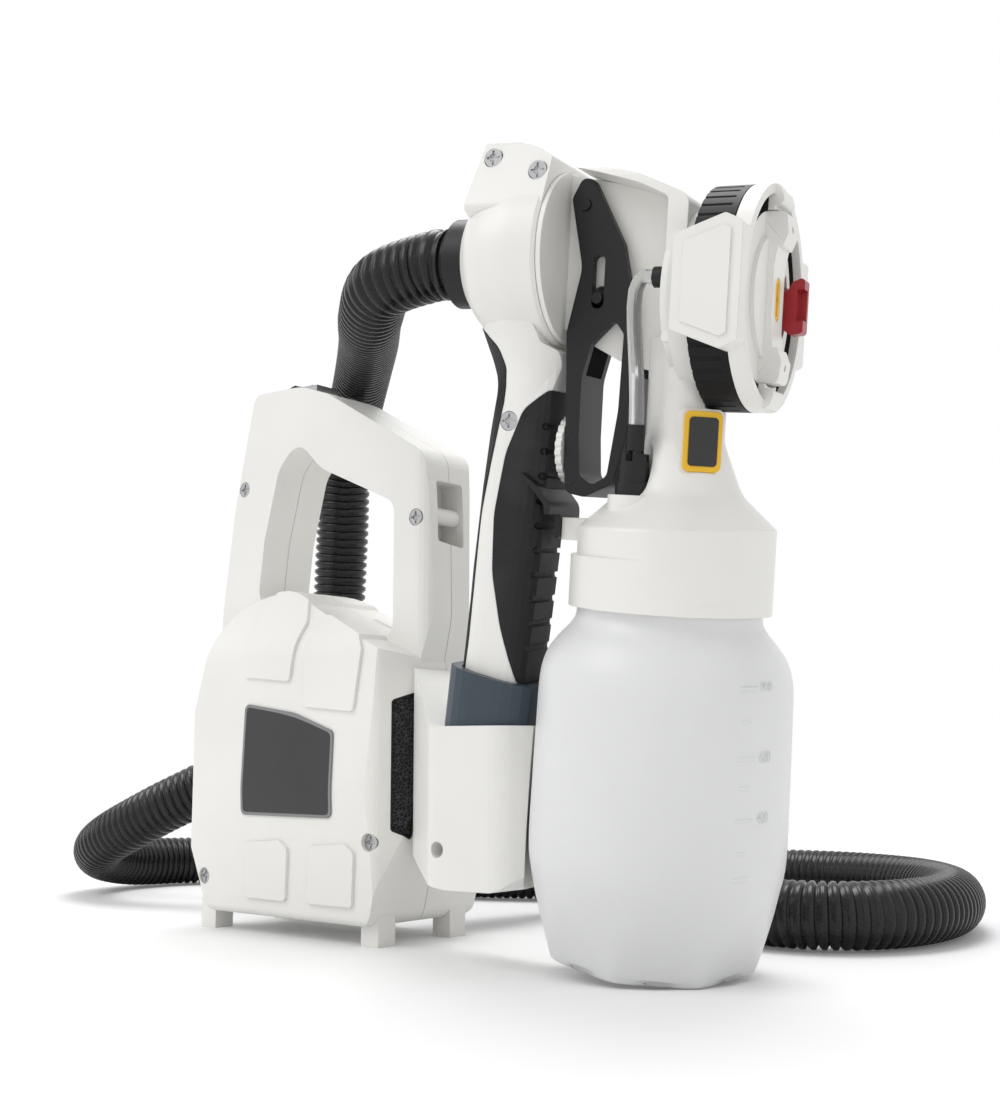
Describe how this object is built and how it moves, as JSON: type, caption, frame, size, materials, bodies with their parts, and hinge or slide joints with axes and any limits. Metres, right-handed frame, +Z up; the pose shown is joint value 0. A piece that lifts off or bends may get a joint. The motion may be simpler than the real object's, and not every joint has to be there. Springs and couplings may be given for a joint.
{
  "type": "HVLP turbine paint sprayer",
  "caption": "Turbine housing with a carrying handle, a docked spray gun with a paint container, and a corrugated air hose between them.",
  "frame": {"origin": "on the floor, under the centre of the sprayer's overall box, measured without the free air hose and its plug", "axes": "+Z up, +X from the turbine towards the docked gun, +Y from the turbine's front to its back"},
  "size_m": [0.5602, 0.3743, 0.3365],
  "materials": {
    "housing_white": "satin moulded plastic",
    "black_plastic": "satin black moulded plastic",
    "grip_rubber": "soft-touch rubber, matt",
    "slate_plastic": "satin blue-grey plastic",
    "steel": "zinc-plated steel",
    "foam": "open-cell filter foam",
    "label_grey": "bare dark label plate",
    "yellow_plastic": "yellow plastic",
    "red_plastic": "red plastic",
    "container_plastic": "translucent blow-moulded polyethylene",
    "clear_tube": "clear flexible vinyl tube",
    "hose_black": "satin corrugated plastic",
    "motor_metal": "painted motor can with windings"
  },
  "bodies": {
    "base": {"front_shell": "housing_white", "rear_shell": "housing_white", "shell_screws": "steel", "label_plate": "label_grey", "switch_bezel": "steel", "filter_foam": "foam", "filter_frame": "black_plastic", "strap_pin": "housing_white", "motor": "motor_metal", "motor_bracket": "black_plastic", "hose_outlet": "black_plastic", "mains_inlet": "black_plastic", "gun_holder": "housing_white", "holder_ring": "slate_plastic", "handle_shell_left": "housing_white", "handle_shell_right": "housing_white", "handle_screws": "steel", "grip_front": "grip_rubber", "grip_back": "grip_rubber", "hose_cuff": "black_plastic", "front_body": "housing_white", "trigger_pin": "steel", "nozzle_seat": "steel", "hand_rest": "black_plastic", "hand_rest_screw": "steel", "vent_valve": "black_plastic", "vent_tube": "clear_tube", "vent_elbow": "black_plastic", "setting_plate": "yellow_plastic", "feed_tube": "container_plastic", "air_hose": "hose_black", "hose_plug": "hose_black"},
    "switch_rocker": {"power_switch": "black_plastic"},
    "fan": {"fan_wheel": "housing_white"},
    "trigger": {"trigger": "black_plastic"},
    "dial": {"volume_dial": "housing_white"},
    "needle": {"needle": "steel"},
    "nut": {"union_nut": "black_plastic"},
    "jet_ring": {"adjusting_ring": "housing_white", "air_cap": "housing_white", "nozzle_tip": "yellow_plastic"},
    "lever": {"jet_lever": "red_plastic"},
    "container": {"container": "container_plastic", "container_seal": "grip_rubber"}
  },
  "joints": [
    {"name": "power_switch_rock", "type": "hinge", "parent": "base", "child": "switch_rocker", "pos_m": [-0.126, 0.021, 0.274], "axis": [0, 1, 0], "range_deg": [-10, 0]},
    {"name": "fan_spin", "type": "hinge", "parent": "base", "child": "fan", "pos_m": [-0.11, 0.021, 0.088], "axis": [0, 1, 0], "continuous": true},
    {"name": "trigger_pull", "type": "hinge", "parent": "base", "child": "trigger", "pos_m": [0.09982, -0.02982, 0.30361], "axis": [-0.2399, 0.9609, 0.1381], "range_deg": [0, 1.6], "stiffness_Nm_per_rad": 3},
    {"name": "needle_slide", "type": "slide", "parent": "base", "child": "needle", "axis": [-0.9587, -0.2569, 0.1219], "range_m": [0, 0.0011]},
    {"name": "volume_dial_turn", "type": "hinge", "parent": "trigger", "child": "dial", "pos_m": [0.0803, -0.02115, 0.20937], "axis": [0.9587, 0.2569, -0.1219], "range_deg": [-135, 135]},
    {"name": "union_nut_turn", "type": "hinge", "parent": "base", "child": "nut", "pos_m": [0.1517, -0.01059, 0.25993], "axis": [0.9587, 0.2569, -0.1219], "range_deg": [0, 180]},
    {"name": "jet_ring_turn", "type": "hinge", "parent": "base", "child": "jet_ring", "pos_m": [0.1632, -0.00751, 0.25847], "axis": [0.9587, 0.2569, -0.1219], "range_deg": [0, 25]},
    {"name": "jet_lever_swing", "type": "hinge", "parent": "jet_ring", "child": "lever", "pos_m": [0.1632, -0.00751, 0.25847], "axis": [0.9587, 0.2569, -0.1219], "range_deg": [-8, 8]},
    {"name": "container_turn", "type": "hinge", "parent": "base", "child": "container", "pos_m": [0.10521, 0.00274, 0.08643], "axis": [0.1526, -0.1032, 0.9829], "range_deg": [0, 90]}
  ],
  "couplings": [
    {"joint": "needle_slide", "follows": "trigger_pull", "m_per_rad": 0.037}
  ]
}
